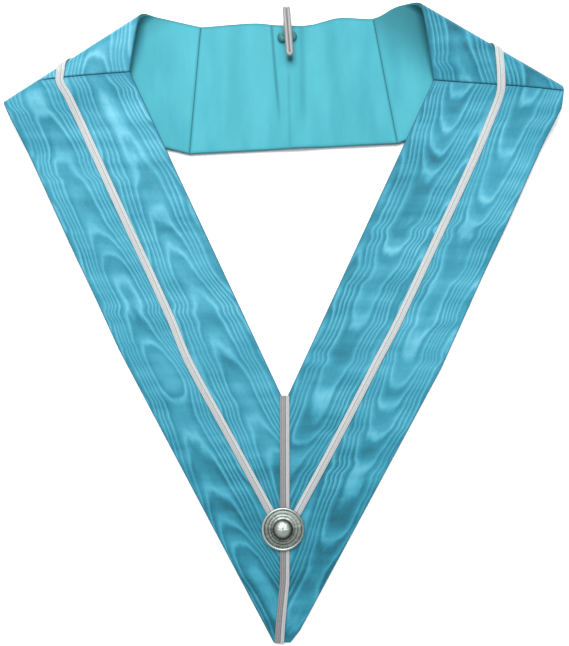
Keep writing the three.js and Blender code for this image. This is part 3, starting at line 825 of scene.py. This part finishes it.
back_face, grid, span, fall = back_piece("back_panel", FACE_LAYER, moire, 0.0, [])
dress_ribbon(back_face, "back_panel", grid[..., 1], grid[..., 0], grid[..., 0], 1, 41)
back_lining, grid, span, fall = back_piece("lining_back", LINING_LAYER, lining, BACK_LINING_INSET, CREASES)
shades = sum(row["shade"] * crease(row, grid[..., 0] / span, grid[..., 1] / fall) for row in CREASES)
shades = np.clip(shades, 0, 1) + tip_shade(grid[..., 0] - span / 2, grid[..., 1])
paint(back_lining, "shade", np.tile(np.minimum(shades, 1).ravel(), 2))
bottom = [on_cloth(plan, plan.back_bottom, 0.0) for plan in (left, right)]
hem = norm(bottom[0] - bottom[1])
back_cut = (BACK_WIDTH, max(span, hem), (span + hem) / 2 * BACK_WIDTH, "laid")
add_sheet(back_face, "back_panel", "moire_ribbon", *back_cut, "side_braid")
add_sheet(back_lining, "lining_back", "plain_lining", *back_cut, "back_panel")


# The braids: strips of flat cords, wound round with thread
STATION_STEP = 0.55
WIND_PITCH = 2.3
WIND_SLANT = 3.2
WIND_DEPTH = 0.06
# Cords across the braid, as shares from its outer edge: an edge cord, two flat ones, a groove, and two more
# Each cord's cord_shade is painted shade in its colour, deepest in the groove and on the cords away from the
# light
BRAID_SECTION = [
    dict(start=0.0, end=0.17, height=1.05, roundness=0.7, cord_shade=0.16),
    dict(start=0.17, end=0.36, height=1.0, roundness=0.25, cord_shade=0.16),
    dict(start=0.36, end=0.55, height=1.0, roundness=0.25, cord_shade=0.18),
    dict(start=0.55, end=0.61, height=0.8, roundness=0.0, cord_shade=0.5),
    dict(start=0.61, end=0.82, height=1.0, roundness=0.35, cord_shade=0.08),
    dict(start=0.82, end=1.0, height=1.08, roundness=0.7, cord_shade=0.12),
]
# How dull a braid is overall with tarnish, and how much more so at its lower end with painted shade, where
# less light falls
BRAID_TARNISH_AND_SHADE = dict(side_braid=dict(all=0.03, low=0.2), centre_braid=dict(all=0.42, low=0.14))
LOW_SHADE_TOP = 40
LOW_SHADE_LENGTH = 260
# The cords past this share, on the lit side, take less of the tarnish and painted shade
LIT_CORD = 0.61
SHADE_AND_TARNISH_SHARE = dict(dull_and_shade=1.1, bright=0.45)
SECTION_STEPS = 5
SECTION_REACH = 0.96
CORD_RELIEF = 0.6
HOLLOW_SHADE = 0.22


def braid_profile(width, inward):
    """Points across the braid's top: place across, height and its painted shade there, deeper where the cords
    meet.
    """
    spots = []
    for row in BRAID_SECTION:
        for t in np.linspace(-SECTION_REACH, SECTION_REACH, SECTION_STEPS):
            share = row["start"] + (row["end"] - row["start"]) * (1 + t) / 2
            drop = row["roundness"] * (1 - math.sqrt(1 - t * t))
            dull_and_shade = row["cord_shade"] + (1 - row["cord_shade"]) * HOLLOW_SHADE * abs(t) ** 3
            spots.append((inward * (share - 0.5) * width, row["height"] - CORD_RELIEF * drop, dull_and_shade))
    return np.array(spots[::inward])


def sweep_braid(node, place, stations, width, inward):
    """A closed strip. place(station index, across, height) gives points for a whole row."""
    profile = braid_profile(width, inward)
    rows = []
    for k, distance in enumerate(stations):
        wind = np.sin(2 * math.pi * (distance / WIND_PITCH + np.abs(profile[:, 0]) / WIND_SLANT))
        top = np.minimum(profile[:, 1] + WIND_DEPTH * wind, BRAID_THICKNESS)
        across = np.concatenate([profile[:, 0], profile[[-1, 0], 0]])
        height = np.concatenate([top, [0.0, 0.0]])
        rows.append(place(k, across, height))
    points = np.array(rows)
    count, ring = points.shape[:2]
    centres = [np.mean(points[0], axis=0), np.mean(points[-1], axis=0)]
    flat_points = np.vstack([points.reshape(-1, 3), centres])
    faces = [tuple(q) for q in ring_faces(count, ring)[:, [0, 3, 2, 1]]]
    last = (count - 1) * ring
    for j in range(ring):
        k = (j + 1) % ring
        faces.append((count * ring, j, k))
        faces.append((count * ring + 1, last + k, last + j))
    piece = make_object(f"{node}_cord", to_frame(flat_points), faces, [silver_braid])
    coords = np.array([[w, d] for d in stations for w in [*profile[:, 0], profile[-1, 0], profile[0, 0]]])
    lay_uv(piece, "braid", np.vstack([coords, [[0, stations[0]], [0, stations[-1]]]]))
    dull_and_shade = np.concatenate([np.tile(np.concatenate([profile[:, 2], [1.0, 1.0]]), count), [1.0, 1.0]])
    lower = ease((LOW_SHADE_TOP - flat_points[:, 1]) / LOW_SHADE_LENGTH)
    tarnish_and_shade = BRAID_TARNISH_AND_SHADE[node]["all"] + BRAID_TARNISH_AND_SHADE[node]["low"] * lower
    dulled = inward * profile[:, 0] / width + 0.5 < LIT_CORD
    dulled = np.tile(np.concatenate([dulled, [True, True]]), count)
    share = np.where(dulled, SHADE_AND_TARNISH_SHARE["dull_and_shade"], SHADE_AND_TARNISH_SHARE["bright"])
    tarnish_and_shade = tarnish_and_shade * np.concatenate([share, [1.0, 1.0]])
    paint(piece, "dull_and_shade", np.clip(dull_and_shade + tarnish_and_shade, 0, 1))
    stand_in(piece, node)


def smooth_route(corners, step):
    """A smooth flat route through chosen points, as places, ways and distances."""
    corners = np.array(corners)
    padded = np.vstack([2 * corners[0] - corners[1], corners, 2 * corners[-1] - corners[-2]])
    spots = []
    for p0, p1, p2, p3 in zip(padded, padded[1:], padded[2:], padded[3:]):
        t = np.linspace(0, 1, 40, endpoint=False)[:, None]
        ease_in, ease_out = (p2 - p0) / 2, (p3 - p1) / 2
        length = norm(p2 - p1)
        ease_in *= min(1.0, length / max(norm(ease_in), 1e-9))
        ease_out *= min(1.0, length / max(norm(ease_out), 1e-9))
        spots.append((2 * t**3 - 3 * t**2 + 1) * p1 + (t**3 - 2 * t**2 + t) * ease_in
                     + (3 * t**2 - 2 * t**3) * p2 + (t**3 - t**2) * ease_out)
    line = np.vstack(spots + [corners[-1][None]])
    gaps = norm(np.diff(line, axis=0), axis=1)
    distance = np.concatenate([[0.0], np.cumsum(gaps)])
    count = max(2, round(distance[-1] / step))
    want = np.linspace(0, distance[-1], count + 1)
    places = np.stack([np.interp(want, distance, line[:, k]) for k in (0, 1)], axis=-1)
    ways = np.gradient(places, axis=0)
    ways /= norm(ways, axis=1)[:, None]
    return places, ways, want


def braid_middle(plan, word):
    """Chosen points of the braid's middle on one side, from the back seam down to the centre braid."""
    insets = [row[word] * RIBBON_WIDTH for row in BRAID_PATH]
    low_start = plan.point - insets[-1] * beside(plan.lower_way)
    end_x = CENTRE_BRAID_WIDTH / 2 + SIDE_BRAID_WIDTH / 2 * plan.lower_way[1] + 2 * CLEARANCE
    end = crossing(low_start, plan.lower_way, end_x * OUTWARD, beside(-OUTWARD))
    lower_length = (plan.taper - end) @ plan.lower_way
    upper_length = (plan.seam_end - plan.taper) @ plan.strap_way
    spots = []
    for row, inset in list(zip(BRAID_PATH, insets))[1:-1]:
        up = (1 - row["along"]) * (lower_length + upper_length)
        way = plan.lower_way if up < lower_length else plan.strap_way
        spots.append(plan.taper + (up - lower_length) * way - inset * beside(way))
    seam_length = norm(plan.seam_end - plan.neck)
    top = plan.neck + seam_length * (1 - insets[0] / RIBBON_WIDTH) * plan.seam_way
    back_share = 1 - BRAID_AT_BACK_SEAM[word]
    back = plan.back_top + plan.back_seam_length * back_share * plan.back_seam_way
    return [back, top, *spots, end], back_share


def side_braid():
    """One length: up the left strap, round the back and down the right strap."""
    left_spots, left_share = braid_middle(left, "left")
    right_spots, right_share = braid_middle(right, "right")
    pieces = []
    spots, ways, along = smooth_route(left_spots[::-1], STATION_STEP)
    for spot, way, d in zip(spots, ways, along):
        pieces.append(("left", spot, beside(way), d))
    distance = along[-1]
    span = back_span()
    steps = max(2, round(span / STATION_STEP))
    for k in range(1, steps):
        pieces.append(("back", k / steps, None, distance + span * k / steps))
    distance += span
    spots, ways, along = smooth_route(right_spots, STATION_STEP)
    for spot, way, d in zip(spots, ways, along):
        pieces.append(("right", spot, -beside(way), distance + d))

    def place(k, across, height):
        kind, spot, aside, _ = pieces[k]
        offset = BRAID_OFFSET + height
        if kind == "back":
            middle = left_share + (right_share - left_share) * spot
            down = middle + across / left.back_seam_length
            return on_back(np.full(len(across), spot), down, offset)
        plan = left if kind == "left" else right
        return on_cloth(plan, spot + across[:, None] * aside, offset)

    sweep_braid("side_braid", place, [p[3] for p in pieces], SIDE_BRAID_WIDTH, -1)


def centre_braid():
    """The braid over the centre seam, from the crotch to the point."""
    top = CROTCH_Y + CENTRE_BRAID_RISE
    corners = [
        np.array([row["aside"] * CENTRE_BRAID_WIDTH, top + (CUT_Y - top) * row["along"]])
        for row in CENTRE_BRAID_PATH
    ]
    spots, ways, along = smooth_route(corners, STATION_STEP)

    def place(k, across, height):
        flat = spots[k] - across[:, None] * beside(ways[k])
        return np.column_stack([flat, BRAID_OFFSET + height])

    sweep_braid("centre_braid", place, along, CENTRE_BRAID_WIDTH, 1)


side_braid()
centre_braid()


# The button: rings, a leafy ground and a roped rim round a dome, each darker on one side with painted shade
# and reflection
# Painted shade and reflection darken the rings and the dome towards these sides, and the rim away from its
# bright side, in degrees
RINGS_SHADED_SIDE = -115.0
DOME_SHADED_SIDE = -50.0
RIM_BRIGHT_SIDE = 170.0
RIM_FROM = 0.9
ROPE_FROM = 0.88
RINGS_FROM = 0.47
RIM_SHADE = 0.55
GROUND_TARNISH_AND_SHADE = dict(least=0.6, shaded=0.95, leaves=0.2, all=0.16)
RELIEF_BRIGHTENING = 9
BUTTON_SIDES = 240
DOME_BASE = 0.4
DOME_STEPS = 16
ROPE_TURNS = 30


def button():
    base = BRAID_OFFSET + BRAID_THICKNESS + CLEARANCE
    # Radius and height as shares, how dark it is with tarnish and painted shade, and the relief that runs
    # round it
    profile = [
        (0.0, 0.0, 1, 0), (0.92, 0.0, 1, 0), (0.985, 0.05, 0, 0), (1.0, 0.12, 0, 0), (1.0, 0.22, 0, 0),
        (0.99, 0.3, 0, 0.006), (0.965, 0.35, 0, 0.007), (0.935, 0.365, 0, 0.007), (0.905, 0.34, 0.2, 0.005),
        (0.885, 0.3, 0.7, 0), (0.865, 0.28, 0.9, 0), (0.84, 0.29, 0.45, 0), (0.81, 0.3, 0.35, 0.008),
        (0.77, 0.31, 0.3, 0.012), (0.73, 0.31, 0.4, 0.012), (0.705, 0.3, 0.9, 0), (0.685, 0.31, 0.6, 0),
        (0.66, 0.33, 0.3, 0.008), (0.62, 0.34, 0.3, 0.012), (0.59, 0.34, 0.5, 0.008), (0.57, 0.33, 0.95, 0),
        (0.55, 0.35, 0.5, 0), (0.52, 0.38, 0.35, 0), (0.5, 0.4, 0.5, 0), (0.48, 0.4, 0.9, 0),
        (0.46, 0.4, 1, 0),
    ]
    # The dome darkens towards its foot with a painted reflection
    for turn in np.linspace(0, math.pi / 2, DOME_STEPS):
        share = DOME_RADIUS / BUTTON_RADIUS * math.cos(turn)
        dark = min(max(1.5 - 1.5 * turn, 0.0), 1.2)
        profile.append((max(share, 0.0), DOME_BASE + (1 - DOME_BASE) * math.sin(turn), dark, 0.012))
    profile = np.array(profile)
    angles = 2 * math.pi * np.arange(BUTTON_SIDES) / BUTTON_SIDES
    rope = np.abs(np.sin(ROPE_TURNS * angles))
    leaves = smooth_noise(8 * np.cos(angles) + 20, 8 * np.sin(angles) + 20, 5)
    towards = lambda side: 0.5 + 0.5 * np.cos(angles - math.radians(side))
    points, button_tarnish_and_shade = [], []
    for radius, height, dark, relief in profile:
        ripple = (rope if radius > ROPE_FROM else leaves) * relief
        rise = np.minimum(base + (height + ripple) * BUTTON_HEIGHT, base + BUTTON_HEIGHT)
        r = radius * BUTTON_RADIUS
        x, y = BUTTON_ASIDE + r * np.cos(angles), BUTTON_Y + r * np.sin(angles)
        points.append(np.column_stack([x, y, rise]))
        if radius > RIM_FROM:
            tarnish_and_shade = RIM_SHADE * (1 - towards(RIM_BRIGHT_SIDE))
        else:
            row = GROUND_TARNISH_AND_SHADE
            shaded = towards(DOME_SHADED_SIDE if radius < RINGS_FROM else RINGS_SHADED_SIDE)
            tarnish_and_shade = dark * (row["least"] + row["shaded"] * shaded) + row["all"] + row["leaves"] * leaves
        button_tarnish_and_shade.append(np.clip(tarnish_and_shade - RELIEF_BRIGHTENING * ripple, 0, 1))
    faces = ring_faces(len(profile), BUTTON_SIDES)
    piece = make_object("button_silver", to_frame(np.vstack(points)), faces, [silver])
    paint(piece, "button_tarnish_and_shade", np.array(button_tarnish_and_shade).ravel())
    stand_in(piece, "button")


button()


# The hook of doubled wire, a little plumper than the part's so that its limbs touch, and its stitches
HOOK_SWELL = 0.42
THREAD_RADIUS = 0.4
STITCH_COUNT = 15
STITCH_ARC = 140
STITCH_RISE = 0.36
STITCH_CLEARANCE = 0.05


def hook_route():
    """One wire from eye to eye: along the lining, over the bend, round the tip and back."""
    half = (HOOK_WIRE + HOOK_LIMB_GAP) / 2
    rise = HOOK_MOUTH + HOOK_WIRE
    bend = rise / 2
    bend_start = HOOK_EYE_DEPTH + HOOK_REACH - bend - HOOK_WIRE / 2
    tip = HOOK_EYE_DEPTH + HOOK_REACH - HOOK_FRONT_LENGTH + half
    opening = math.acos(1 - (HOOK_WIRE + CLEARANCE) / HOOK_EYE_RADIUS)
    eye = [(-half - HOOK_EYE_RADIUS + HOOK_EYE_RADIUS * math.cos(t), HOOK_EYE_RADIUS * math.sin(t), 0.0)
           for t in np.linspace(opening, 2 * math.pi, 28)]
    limb = [(-half, bend_start * t, 0.0) for t in np.linspace(0.08, 0.92, 9)]
    over = [(-half, bend_start + bend * math.sin(t), bend - bend * math.cos(t))
            for t in np.linspace(0, math.pi, 20)]
    front = [(-half, bend_start + (tip - bend_start) * t, rise) for t in np.linspace(0.04, 0.96, 16)]
    turn = [(half * math.cos(t), tip + half * math.sin(t), rise)
            for t in np.linspace(math.pi, 1.5 * math.pi, 9)]
    one = eye + limb + over + front + turn
    other = [(-x, y, z) for x, y, z in one[-2::-1]]
    route = np.array(one + other)
    forward = route[:, 2] / rise
    route[:, 0] += HOOK_FRONT_ASIDE * forward
    route[:, 0] += HOOK_REAR_ASIDE * (1 - forward) * np.clip(route[:, 1] / bend_start, 0, 1)
    return route


def hook_seat():
    """Where the hook's eyes rest on the lining."""
    reach = HOOK_WIRE + HOOK_LIMB_GAP + 2 * HOOK_EYE_RADIUS
    asides = np.array([-1, -0.5, 0, 0.5, 1]) * reach
    across = 0.5 + (HOOK_ASIDE + asides) / back_span()
    spots = on_back(across, np.zeros(5), 0.0)
    x, y, _ = spots[2]
    return np.array([x, y - HOOK_EYE_DEPTH, spots[:, 2].max() + CLEARANCE + HOOK_WIRE / 2])


def tube(name, routes, radius, material, sides=14):
    """Closed round tubes along open routes of layout points."""
    points, faces = [], []
    for route in routes:
        start = len(points)
        ways = np.gradient(route, axis=0)
        ways /= norm(ways, axis=1)[:, None]
        normal = np.cross(ways[0], [0.0, 0.0, 1.0])
        if norm(normal) < 0.1:
            normal = np.cross(ways[0], [1.0, 0.0, 0.0])
        for spot, way in zip(route, ways):
            normal = normal - (normal @ way) * way
            normal /= norm(normal)
            other = np.cross(way, normal)
            for k in range(sides):
                t = 2 * math.pi * k / sides
                points.append(spot + radius * (math.cos(t) * normal + math.sin(t) * other))
        faces.extend(start + ring_faces(len(route), sides))
        faces.append(range(start + sides - 1, start - 1, -1))
        faces.append(range(len(points) - sides, len(points)))
    return make_object(name, to_frame(points), faces, [material])


seat, lean = hook_seat(), math.radians(HOOK_LEAN)
turned = np.array([[math.cos(lean), -math.sin(lean), 0], [math.sin(lean), math.cos(lean), 0], [0, 0, 1]])
hook = tube("neck_hook_wire", [hook_route() @ turned.T + seat], HOOK_WIRE / 2 + HOOK_SWELL, wire)
stand_in(hook, "neck_hook")


def stitch_route(side, angle):
    """One stitch over an eye's wire, at an angle round it: up from the lining and down to it."""
    centre = side * ((HOOK_WIRE + HOOK_LIMB_GAP) / 2 + HOOK_EYE_RADIUS)
    out = heading(angle)
    reach = HOOK_WIRE / 2 + STITCH_RISE + THREAD_RADIUS
    foot = -(CLEARANCE + HOOK_WIRE / 2) + THREAD_RADIUS + STITCH_CLEARANCE
    turns = np.linspace(0, math.pi, 9)
    legs = [(reach, foot), *[(reach * math.cos(t), reach * math.sin(t)) for t in turns], (-reach, foot)]
    spot = lambda r, z: (centre + (HOOK_EYE_RADIUS + r) * out[0], (HOOK_EYE_RADIUS + r) * out[1], z)
    return np.array([spot(r, z) for r, z in legs])


stitches = tube(
    "hook_thread",
    [stitch_route(side, turn) @ turned.T + seat for side in (-1, 1)
     for turn in 90 - 90 * side + np.linspace(-STITCH_ARC, STITCH_ARC, STITCH_COUNT)],
    THREAD_RADIUS, thread, sides=8,
)
stand_in(stitches, "neck_hook")


# Floor, light and camera
FLOOR_REACH = 4.0
floor_corners = [(FLOOR_REACH * x, FLOOR_REACH * y, 0) for x, y in ((-1, -1), (1, -1), (1, 1), (-1, 1))]
floor = make_object("floor", floor_corners, [(0, 1, 2, 3)], [floor_material()], smooth=False)


LIGHT_PLACE = Vector((-0.12, 0.75, 1.4))
LIGHT_TARGET = Vector((0.0, 0.1, 0.0))
light = bpy.data.lights.new("key", "AREA")
light.shape = "DISK"
light.size = 1.3
light.energy = 32.0
lamp = bpy.data.objects.new("key", light)
lamp.location = LIGHT_PLACE
lamp.rotation_mode = "QUATERNION"
lamp.rotation_quaternion = (LIGHT_TARGET - LIGHT_PLACE).to_track_quat("-Z", "Y")
scene.collection.objects.link(lamp)

world = bpy.data.worlds.new("studio")
world.use_nodes = True
background = world.node_tree.nodes["Background"]
background.inputs["Color"].default_value = (1.0, 1.0, 1.0, 1.0)
background.inputs["Strength"].default_value = 0.65
scene.world = world
scene.view_settings.view_transform = "Standard"

CAMERA_DISTANCE = 672.94
CAMERA_TILT = 4.04
CAMERA_ASIDE = -0.13
FOCAL_PIXELS = 843.0
IMAGE_HEIGHT = 646.0
SENSOR = 36.0
camera_data = bpy.data.cameras.new("camera")
camera_data.sensor_width = SENSOR
camera_data.sensor_fit = "AUTO"
camera_data.lens = FOCAL_PIXELS / IMAGE_HEIGHT * SENSOR
camera = bpy.data.objects.new("camera", camera_data)
tilt = math.radians(CAMERA_TILT)
camera_y, camera_z = -CAMERA_DISTANCE * math.sin(tilt), CAMERA_DISTANCE * math.cos(tilt)
camera.location = to_frame([CAMERA_ASIDE, camera_y, camera_z])
camera.rotation_euler = (tilt, 0.0, 0.0)
scene.collection.objects.link(camera)
scene.camera = camera
